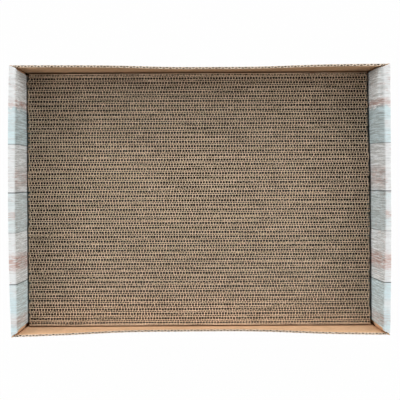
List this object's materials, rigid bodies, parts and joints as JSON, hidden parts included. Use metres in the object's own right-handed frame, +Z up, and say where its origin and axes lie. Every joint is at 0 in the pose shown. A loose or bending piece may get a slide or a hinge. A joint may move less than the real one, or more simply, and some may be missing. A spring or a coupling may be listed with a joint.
{
  "type": "cardboard cat scratcher",
  "caption": "Low rectangular corrugated-board tray with rolled double ends, holding a loose reversible scratching pad of board strips set on edge, flute ends up.",
  "frame": {"origin": "centre of the tray's underside", "axes": "+X along the pad's strips, +Y across them towards the back wall, +Z up"},
  "size_m": [0.4612, 0.3332, 0.081],
  "materials": {
    "printed_board": "matt printed board, weathered plank pattern",
    "kraft_board": "raw kraft liner",
    "pad_board": "raw cut corrugated edges"
  },
  "bodies": {
    "tray": {"tray_base": "kraft_board", "front_wall": "printed_board", "back_wall": "printed_board", "front_left_tab": "kraft_board", "front_right_tab": "kraft_board", "back_left_tab": "kraft_board", "back_right_tab": "kraft_board", "left_end_wall": "printed_board", "right_end_wall": "printed_board", "left_rim": "printed_board", "right_rim": "printed_board", "left_inner_flap": "printed_board", "right_inner_flap": "printed_board"},
    "pad": {"pad_strips_01": "pad_board", "pad_strips_02": "pad_board", "pad_strips_03": "pad_board", "pad_strips_04": "pad_board", "pad_strips_05": "pad_board", "pad_strips_06": "pad_board", "pad_strips_07": "pad_board", "pad_strips_08": "pad_board", "pad_strips_09": "pad_board", "pad_strips_10": "pad_board", "pad_strips_11": "pad_board", "pad_strips_12": "pad_board", "pad_strips_13": "pad_board", "pad_strips_14": "pad_board", "pad_strips_15": "pad_board", "pad_strips_16": "pad_board", "pad_strips_17": "pad_board", "pad_strips_18": "pad_board", "pad_strips_19": "pad_board", "pad_strips_20": "pad_board", "pad_strips_21": "pad_board", "pad_strips_22": "pad_board", "pad_strips_23": "pad_board", "pad_strips_24": "pad_board", "pad_strips_25": "pad_board", "pad_strips_26": "pad_board", "pad_strips_27": "pad_board", "pad_strips_28": "pad_board"}
  },
  "joints": [
    {"name": "pad_lift", "type": "slide", "parent": "tray", "child": "pad", "axis": [0, 0, 1], "range_m": [0, 0.1]}
  ]
}
